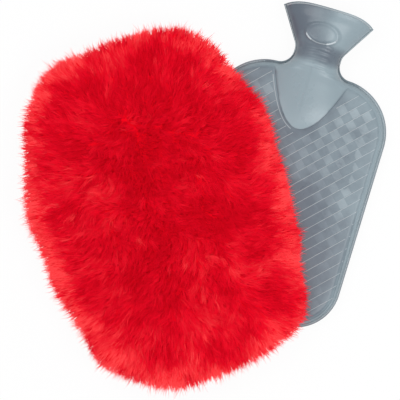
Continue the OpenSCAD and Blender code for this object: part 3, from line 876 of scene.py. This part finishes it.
def make_threads(stopper, insert):
    """The stopper's thread and the insert's, half a pitch apart."""
    plug_r = BORE_D / 2 - THREAD_ROOM
    top = INSERT_TOP + WASHER_T
    plug_y = top - (THREAD_PITCH * THREAD_TURNS - WASHER_T) + 3
    insert_y = INSERT_END + 1.5
    phase = math.pi + (insert_y - plug_y) / THREAD_PITCH * 2 * math.pi
    thread_ridge("stopper_thread", plug_r - 0.2, plug_r + THREAD_H, plug_y, INSERT_TOP - 1.6, 0,
                 stopper, "plug")
    thread_ridge("insert_thread", BORE_D / 2 + 0.2, BORE_D / 2 - THREAD_H, insert_y, INSERT_TOP - 2.4, phase,
                 insert, "bottle_and_cover")


def dress(node, material):
    """Gives a node of the frame its finish."""
    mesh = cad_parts[node].data
    mesh.materials.clear()
    mesh.materials.append(material)


# Wool cover, in its own plan: p across the bag and q along it towards its mouth

def to_part(p, q):
    """A place on the bag's plan, brought to the bottle's."""
    c, s = math.cos(COVER_TURN), math.sin(COVER_TURN)
    return COVER_X + p * c - q * s, COVER_Y + p * s + q * c


def placed(points):
    x, y = to_part(points[:, 0], points[:, 1])
    return np.stack([x, y, points[:, 2]], axis=1)


def bulged(p, q):
    """Moves wool in or out with the lumps of the cover's edge."""
    angle = np.degrees(np.arctan2(q, p))
    move = sum(reach * np.exp(-(((angle - a + 180) % 360 - 180) / width) ** 2) for a, reach, width in BULGES)
    move = move * smooth((bag_share(p, q) - 0.55) / 0.45)
    out = bag_normal(p, q)
    return p + out[..., 0] * move, q + out[..., 1] * move


def bag_share(p, q):
    """0 in the middle of the bag and 1 on its sewn edge."""
    return (np.abs(p / (COVER_W / 2)) ** COVER_SQUARE
            + np.abs(q / (COVER_L / 2)) ** COVER_SQUARE) ** (1 / COVER_SQUARE)


def bag_normal(p, q):
    """The way out of the bag's outline in plan."""
    n = np.stack([np.sign(p) * np.abs(p) ** (COVER_SQUARE - 1) / (COVER_W / 2) ** COVER_SQUARE,
                  np.sign(q) * np.abs(q) ** (COVER_SQUARE - 1) / (COVER_L / 2) ** COVER_SQUARE], axis=-1)
    return n / np.maximum(np.linalg.norm(n, axis=-1, keepdims=True), 1e-9)


def bag_r(a, extra=0):
    """Distance of the bag's edge from its middle, with extra wool round it."""
    c = np.abs(np.cos(a)) / (COVER_W / 2 + extra)
    s = np.abs(np.sin(a)) / (COVER_L / 2 + extra)
    return 1 / (c**COVER_SQUARE + s**COVER_SQUARE) ** (1 / COVER_SQUARE)


def mouth_open(p, q):
    """How far the two skins stand apart at the mouth, from 0 to 1."""
    return np.where(q > 0, smooth((MOUTH_W / 2 - np.abs(p)) / MOUTH_EASE), 0)


def pocket_half(p, q, share):
    """Half the height of the pocket, which is drawn in at the hem apart from the mouth."""
    return POCKET_H / 2 * np.maximum(mouth_open(p, q), smooth((1 - share) / 0.14))


def down_rise(share):
    """Height of the down over the hem: the wool leans outwards and thins towards the edge."""
    return DOWN_TOP - DOWN_FALL * share**2


def shaped_ball(columns, rows, place):
    """A ball whose vertices are put where place(angle, turn) says; turn runs from 0 on top to 1 below."""
    bm = bmesh.new()
    bmesh.ops.create_uvsphere(bm, u_segments=columns, v_segments=rows, radius=1)
    for v in bm.verts:
        v.co = place(math.atan2(v.co.y, v.co.x), math.acos(max(-1, min(1, v.co.z))) / math.pi)
    bmesh.ops.recalc_face_normals(bm, faces=bm.faces)
    return bm


def make_skin(name, side, node, leather):
    """One panel of the bag: a thin closed sheet, its outer face in the first half of the turn."""
    def place(a, turn):
        share = min(turn, 1 - turn) * 2
        r = float(bag_r(a)) * share
        p, q = r * math.cos(a), r * math.sin(a)
        out = 0.05 + (SKIN_T * 0.8 if turn < 0.5 else 0)
        return *to_part(p, q), HEM_Z + side * (float(pocket_half(p, q, share)) + out)

    skin = finish(shaped_ball(96, 30, place), name, leather, 60)
    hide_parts(node)
    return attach(skin, "bottle_and_cover")


def pressed(x, y):
    """1 where the cover lies on the bottle and 0 beside it."""
    return smooth((inward(x, y) + 9) / 7)


def under_z(x, y):
    """Underside of the lower down: near the floor, and pressed flat where the bottle lies."""
    return mix(HEM_Z - DOWN_UNDER, PRESSED_Z, pressed(x, y))


def make_down(name, side, wool):
    """The down of one panel: over its skin, round the bag's edge and back along the skin.

    The turn runs over the face up to face_end, round the edge up to edge_end and then back."""
    face_end, edge_end = 0.45, 0.62

    def place(a, turn):
        share = min(1, turn / face_end) if turn < edge_end else (1 - turn) / (1 - edge_end)
        phi = math.pi / 2 * min(1, max(0, (edge_end - turn) / (edge_end - face_end)))
        out = DOWN_OUT * math.cos(phi) if turn < edge_end else 0
        r = float(bag_r(a, out)) * share
        p, q = r * math.cos(a), r * math.sin(a)
        x, y = to_part(*bulged(np.float64(p), np.float64(q))) if turn < edge_end else to_part(p, q)
        inner = float(pocket_half(p, q, share)) + SKIN_T + 0.1
        if turn >= edge_end:
            return x, y, HEM_Z + side * inner
        lip = mix(MOUTH_SLIT / 2 * float(mouth_open(p, q)), inner, math.sin(phi))
        if side > 0:
            return x, y, HEM_Z + max(lip, float(down_rise(share)) * math.sin(phi))
        low = mix(HEM_Z, float(under_z(np.float64(x), np.float64(y))), math.sin(phi))
        return x, y, min(HEM_Z - lip - 0.2, low)

    down = finish(shaped_ball(144, 56, place), name, wool)
    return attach(down, "bottle_and_cover")


def field(p, q, size, shift):
    """Smooth noise over the bag's plan, from about -1 to 1, with lumps of the given size."""
    places = zip(p / size + shift, q / size - shift)
    return np.array([noise.noise((a, b, shift * 1.7)) for a, b in places]) * 1.6


def unit(v):
    return v / np.maximum(np.linalg.norm(v, axis=-1, keepdims=True), 1e-6)


def combed(p, q):
    """The way that the wool lies in plan, outwards from a whorl, and how firmly it lies that way."""
    share = bag_share(p, q)
    away = np.stack([p - WHORL[0] + CALM * 0.7 * field(p, q, 30, 6.3),
                     q - WHORL[1] + CALM * 0.7 * field(p, q, 30, 12.9)], axis=1)
    firm = smooth(np.linalg.norm(away, axis=1) / CALM)
    out = unit(mix(unit(away), bag_normal(p, q), smooth((share - 0.5) / 0.45)[:, None]))
    loose = 1 - 0.7 * smooth((share - 0.6) / 0.4)
    turn = loose * (0.8 * field(p, q, 44, 3.1) + 1.1 * field(p, q, 13, 8.7))
    c, s = np.cos(turn), np.sin(turn)
    flow = np.stack([out[:, 0] * c - out[:, 1] * s, out[:, 0] * s + out[:, 1] * c], axis=1)
    return flow, np.maximum(firm, smooth((share - 0.6) / 0.3))


def strand_template():
    """A strand as a three-sided cone that bends in the middle; z runs from 0 at its root to 1."""
    bm = bmesh.new()
    bmesh.ops.create_cone(bm, cap_ends=False, segments=3, radius1=1, radius2=0, depth=1)
    geometry = list(bm.verts) + list(bm.edges) + list(bm.faces)
    bmesh.ops.bisect_plane(bm, geom=geometry, plane_co=(0, 0, 0), plane_no=(0, 0, 1))
    bmesh.ops.remove_doubles(bm, verts=bm.verts, dist=1e-5)
    bmesh.ops.triangulate(bm, faces=bm.faces)
    for v in bm.verts:
        v.co.z += 0.5
    return mesh_arrays(bm)


def grow(name, roots, bends, tips, out, widths, shades, wool):
    """Strands of wool, each on a curve from its root past its bend to its tip.

    Wool lets light through, so each strand is shaded mostly as if it faced out of the cover."""
    template, faces = strand_template()
    t = template[:, 2][None, :, None]
    line = (1 - t) ** 2 * roots[:, None] + 2 * t * (1 - t) * bends[:, None] + t**2 * tips[:, None]
    run = unit(tips - roots)
    side = unit(np.cross(run, np.array([0.31, 0.2, 1.0])))
    up = np.cross(run, side)
    taper = 1 - 0.4 * template[:, 2]
    spread = np.hypot(template[:, 0], template[:, 1])
    angle = np.arctan2(template[:, 1], template[:, 0])
    radial = np.cos(angle)[None, :, None] * side[:, None] + np.sin(angle)[None, :, None] * up[:, None]
    points = line + (taper * (spread > 1e-6))[None, :, None] * widths[:, None, None] * radial
    facing = out - np.sum(out * run, axis=1, keepdims=True) * run * 0.6
    facing[:, 2] += 1.2 * smooth((out[:, 2] + 0.6) / 0.5)
    normals = unit(unit(facing)[:, None] + 0.4 * radial)
    uvs = np.stack(np.broadcast_arrays(shades[:, None], template[None, :, 2]), axis=2)
    piece = many_copies(name, points, faces, wool, uvs, normals)
    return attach(piece, "bottle_and_cover")


def turned_out(directions):
    """Directions on the bag's plan, brought to the bottle's."""
    c, s = math.cos(COVER_TURN), math.sin(COVER_TURN)
    x, y = directions[:, 0], directions[:, 1]
    return np.stack([x * c - y * s, x * s + y * c, directions[:, 2]], axis=1)


def top_roots(rng, count):
    """Roots spread over the down's face, with the way that is out of it."""
    p = rng.uniform(-COVER_W / 2, COVER_W / 2, count * 2)
    q = rng.uniform(-COVER_L / 2, COVER_L / 2, count * 2)
    keep = bag_share(p, q) < 1
    p, q = p[keep][:count], q[keep][:count]
    share = bag_share(p, q)
    roots = np.stack([p, q, HEM_Z + down_rise(share) - ROOT_SINK], axis=1)
    tilt = bag_normal(p, q) * 0.9 * smooth((share - 0.3) / 0.7)[:, None]
    return roots, unit(np.concatenate([tilt, np.ones((len(p), 1))], axis=1))


def on_edge(a, phi):
    """A place on the rolled edge of the down, just under its surface."""
    r = bag_r(a, DOWN_OUT * np.cos(phi) - ROOT_SINK)
    return r * np.cos(a), r * np.sin(a)


def edge_roots(rng, count):
    """Roots round the edge of the bag, from the face down to the floor side."""
    a = rng.uniform(0, 2 * math.pi, count * 2)
    keep = rng.uniform(0, FARTHEST, count * 2) < bag_r(a)
    a = a[keep][:count]
    phi = np.radians(rng.uniform(*EDGE_SPAN, len(a)))
    p, q = on_edge(a, phi)
    phi = np.where(phi < 0, phi * (1 - 0.8 * pressed(*to_part(p, q))), phi)
    p, q = on_edge(a, phi)
    z = HEM_Z + np.where(phi > 0, DOWN_TOP - DOWN_FALL, DOWN_UNDER) * np.sin(phi)
    out = np.concatenate([bag_normal(p, q) * np.cos(phi)[:, None], np.sin(phi)[:, None]], axis=1)
    return np.stack([p, q, z], axis=1), unit(out)


def own_tuft(roots, rng):
    """Picks some strands to lead a tuft, and gives every strand the leader nearest to it."""
    leaders = rng.choice(len(roots), len(roots) // TUFT_OF, replace=False)
    tree = kdtree.KDTree(len(leaders))
    for i, k in enumerate(leaders):
        tree.insert(roots[k], i)
    tree.balance()
    return leaders, np.array([tree.find(r)[1] for r in roots])


def lift(points):
    """Keeps wool off the floor, and off the bottle where that lies under it."""
    x, y = points[:, 0], points[:, 1]
    near = (inward(x, y) > -BOTTLE_MARGIN) & (np.abs(x) < BODY_W / 2 + BOTTLE_MARGIN)
    over = near & (y > FOOT_Y - BOTTLE_MARGIN) & (y < THROAT_Y)
    floor = np.where(over, BODY_T + WOOL_OVER, WOOL_OFF_FLOOR)
    points[:, 2] = np.minimum(np.maximum(points[:, 2], floor), WOOL_TOP_Z)
    return points


def comb_wool(roots, out, lean, length, gather, strays, rng):
    """Bends and tips of strands that lie along the comb and gather into curled tufts."""
    p, q = roots[:, 0], roots[:, 1]
    flow, firm = combed(p, q)
    leaders, own = own_tuft(roots, rng)
    count, tufts = len(roots), len(leaders)
    lean = lean * (0.5 + 0.5 * firm)
    flow = np.concatenate([flow, np.zeros((count, 1))], axis=1)
    aim = unit(out * np.cos(lean)[:, None] + flow * np.sin(lean)[:, None])
    tuft_aim = unit(aim[leaders] + rng.normal(0, TUFT_SCATTER, (tufts, 3)) * np.array([1, 1, 0.5]))
    tuft_l = length * rng.normal(1, 0.09, tufts)
    own_aim = unit(aim + rng.normal(0, STRAND_SCATTER, (count, 3)))
    stray = 1 + 0.5 * (rng.random(count) < strays)
    length = tuft_l[own] * rng.normal(1, 0.1, count) * stray
    pull = rng.uniform(0.1, gather, count)[:, None]
    alone = roots + own_aim * length[:, None]
    led = roots[leaders][own] + tuft_aim[own] * length[:, None]
    tips = mix(alone, led, pull)
    curl = rng.normal(0, 0.13, (tufts, 3))[own] + rng.normal(0, 0.04, (count, 3))
    stand = unit(out + 0.6 * aim)
    bends = mix(roots + 0.5 * length[:, None] * stand, (roots + tips) / 2, 0.35) + curl * length[:, None]
    return bends, tips, own


def shades_of(p, q, own, rng):
    """Shade of each strand: painted light makes it lighter round the cover's edge and to its lower left, and
    it is uneven from tuft to tuft.
    """
    share = bag_share(p, q)
    # Painted light and shade: darker in the middle of the cover, lighter round its edge where the strands are
    # lit from the side.
    broad = 0.175 + 0.13 * smooth((share - 0.3) / 0.4) + 0.46 * smooth((share - 0.86) / 0.22)
    broad = broad + 0.25 * field(p, q, 34, 9.9) + 0.16 * field(p, q, 15, 4.4)
    # Painted light: lighter towards the cover's lower left, where more light falls.
    fall = 0.08 * p / (COVER_W / 2) + 0.1 * q / (COVER_L / 2)
    broad = broad - fall * (1 - 0.6 * smooth((share - 0.55) / 0.3))
    tuft = rng.normal(0, 0.15, own.max() + 1)[own]
    return np.clip(broad + tuft + rng.normal(0, 0.08, len(p)), 0.02, 0.98)


def make_wool(wool, rng):
    """The wool of the upper panel, in four quarters so that each mesh stays light, and that of the edge."""
    roots, out = top_roots(rng, TOP_STRANDS)
    share = bag_share(roots[:, 0], roots[:, 1])
    lean = np.radians(44 + 20 * smooth((share - 0.3) / 0.6)) + 0.16 * field(roots[:, 0], roots[:, 1], 24, 5.5)
    quarters = np.digitize(np.arctan2(roots[:, 1], roots[:, 0]), [-math.pi / 2, 0, math.pi / 2])
    names = ["wool_foot_left", "wool_foot_right", "wool_head_right", "wool_head_left"]
    strand_set(names, quarters, roots, out, comb_wool(roots, out, lean, STRAND_L, 0.85, 0.03, rng), wool, rng)
    roots, out = edge_roots(rng, EDGE_STRANDS)
    lean = np.radians(rng.uniform(4, 26, len(roots)) + 48 * smooth((out[:, 2] - 0.4) / 0.5))
    combed_edge = comb_wool(roots, out, lean, EDGE_STRAND_L, 0.4, 0.12, rng)
    strand_set(["wool_edge"], np.zeros(len(roots)), roots, out, combed_edge, wool, rng)


def strand_set(names, groups, roots, out, combed_strands, wool, rng):
    """Shades combed strands, brings them to their place and grows a piece of each group."""
    bends, tips, own = combed_strands
    shades = shades_of(roots[:, 0], roots[:, 1], own, rng)
    widths = rng.uniform(*STRAND_W, len(roots))
    for points in (roots, bends, tips):
        points[:, 0], points[:, 1] = bulged(points[:, 0], points[:, 1])
    roots, bends, tips = placed(roots), lift(placed(bends)), lift(placed(tips))
    for k, name in enumerate(names):
        pick = groups == k
        curves = roots[pick], bends[pick], tips[pick]
        grow(name, *curves, turned_out(out[pick]), widths[pick], shades[pick], wool)


# Stage

def make_floor():
    """A pale floor, which the camera sees nearly as bright as the backdrop, with soft shadows."""
    bm = bmesh.new()
    bmesh.ops.create_grid(bm, x_segments=1, y_segments=1, size=3000)
    bmesh.ops.translate(bm, vec=(0, 0, -0.2), verts=bm.verts)
    material, tree, shader = new_material("pale_floor")
    shader.inputs["Base Color"].default_value = (0.9, 0.9, 0.9, 1)
    shader.inputs["Roughness"].default_value = 0.9
    shader.inputs["Specular IOR Level"].default_value = 0.0
    glow = add_node(tree, "ShaderNodeEmission", Strength=1.0)
    blend = tree.nodes.new("ShaderNodeMixShader")
    seen = seen_straight(tree)
    share = add_node(tree, "ShaderNodeMath", operation="MULTIPLY")
    share.inputs[1].default_value = 0.94
    tree.links.new(seen, share.inputs[0])
    tree.links.new(share.outputs["Value"], blend.inputs["Fac"])
    tree.links.new(shader.outputs["BSDF"], blend.inputs[1])
    tree.links.new(glow.outputs["Emission"], blend.inputs[2])
    tree.links.new(blend.outputs["Shader"], tree.nodes["Material Output"].inputs["Surface"])
    floor = finish(bm, "floor", material)


def seen_straight(tree):
    """1 for rays from the camera, in a reflection or through glass."""
    rays = tree.nodes.new("ShaderNodeLightPath")
    first = add_node(tree, "ShaderNodeMath", operation="MAXIMUM")
    both = add_node(tree, "ShaderNodeMath", operation="MAXIMUM")
    tree.links.new(rays.outputs["Is Camera Ray"], first.inputs[0])
    tree.links.new(rays.outputs["Is Glossy Ray"], first.inputs[1])
    tree.links.new(first.outputs["Value"], both.inputs[0])
    tree.links.new(rays.outputs["Is Transmission Ray"], both.inputs[1])
    return both.outputs["Value"]


def make_world():
    """White to the camera, and dimmer where it lights the object."""
    world = bpy.data.worlds.new("studio")
    bpy.context.scene.world = world
    world.use_nodes = True
    tree = world.node_tree
    shown = tree.nodes["Background"]
    shown.inputs["Strength"].default_value = 1.0
    shown.inputs["Color"].default_value = (1, 1, 1, 1)
    fill = add_node(tree, "ShaderNodeBackground", Strength=0.66)
    fill.inputs["Color"].default_value = (0.97, 0.98, 1, 1)
    blend = tree.nodes.new("ShaderNodeMixShader")
    tree.links.new(seen_straight(tree), blend.inputs["Fac"])
    tree.links.new(fill.outputs["Background"], blend.inputs[1])
    tree.links.new(shown.outputs["Background"], blend.inputs[2])
    tree.links.new(blend.outputs["Shader"], tree.nodes["World Output"].inputs["Surface"])


def make_lamp(name, place, size, power):
    """A round soft light that faces the middle of the view."""
    lamp = bpy.data.lights.new(name, "AREA")
    lamp.shape = "DISK"
    lamp.size = size * MM
    lamp.energy = power
    holder = bpy.data.objects.new(name, lamp)
    holder.location = Vector(place) * MM
    aim = Vector((VIEW_X, VIEW_Y, 20)) - Vector(place)
    holder.rotation_euler = aim.to_track_quat("-Z", "Y").to_euler()
    bpy.context.scene.collection.objects.link(holder)


def make_camera():
    """Straight above, at a scale of PIXEL millimetres a pixel at the height SHARP_Z."""
    camera = bpy.data.objects.new("camera", bpy.data.cameras.new("camera"))
    camera.data.sensor_width = 36
    camera.data.lens = 36 * (CAMERA_Z - SHARP_Z) / (PICTURE * PIXEL)
    camera.location = (VIEW_X * MM, VIEW_Y * MM, CAMERA_Z * MM)
    camera.rotation_euler = (0, 0, math.radians(LEAN))
    camera.data.clip_end = 20
    bpy.context.scene.collection.objects.link(camera)
    bpy.context.scene.camera = camera


def turned(x, y):
    """A place given across and up the picture, as a place on the bottle's plan."""
    c, s = math.cos(math.radians(LEAN)), math.sin(math.radians(LEAN))
    return VIEW_X + x * c - y * s, VIEW_Y + x * s + y * c


bpy.context.scene.view_settings.view_transform = "Standard"
make_camera()
make_world()
make_floor()
make_lamp("key", (*turned(500, -320), 1200), 700, 5.3)
make_lamp("top", (*turned(-420, 420), 1400), 900, 5.9)

cloudy_and_painted_light = mottle_and_painted_light_group()
vinyl = moulded("grey_vinyl", (0.262, 0.333, 0.368), (0.10, 0.125, 0.157), 0.2, cloudy_and_painted_light)
# Painted highlight: the raised lines and the fine beads are coloured lighter than the vinyl, as light caught
# on their crests.
painted_highlight_vinyl = moulded("painted_highlight_vinyl", (0.42, 0.48, 0.51), (0.34, 0.38, 0.40), 0.0, cloudy_and_painted_light)
# Painted sheen: the raised squares are coloured lighter than the vinyl up the right side, for the sheen of
# their finer face.
tile_vinyl_painted_sheen = moulded("tile_vinyl_painted_sheen", (0.375, 0.456, 0.49), (0.105, 0.131, 0.164), 0.4, cloudy_and_painted_light)
seam_vinyl = moulded("seam_vinyl", (0.22, 0.27, 0.30), (0.15, 0.165, 0.19), 0.1, cloudy_and_painted_light)
# Painted glint: near-white vinyl for the glints on the boss's lower edge.
painted_glint_vinyl = moulded("painted_glint_vinyl", (0.57, 0.63, 0.66), (0.5, 0.56, 0.59), 0.0, cloudy_and_painted_light)
make_bottle(vinyl, seam_vinyl)
make_lines(painted_highlight_vinyl)
make_contours(vinyl, painted_highlight_vinyl, painted_glint_vinyl)
make_tiles(tile_vinyl_painted_sheen)

hard = plain("insert_plastic", (0.30, 0.33, 0.35), 0.45)
dark = plain("stopper_plastic", (0.085, 0.10, 0.11), 0.35)
dress("neck_insert", hard)
dress("stopper", dark)
dress("sealing_washer", plain("washer_rubber", (0.03, 0.03, 0.03), 0.7))
make_threads(dark, hard)

leather = skin_material()
make_skin("skin_upper", 1, "cover_upper", leather)
make_skin("skin_lower", -1, "cover_lower", leather)
down = down_material()
make_down("down_upper", 1, down)
make_down("down_lower", -1, down)
make_wool(wool_material(), np.random.default_rng(SEED))
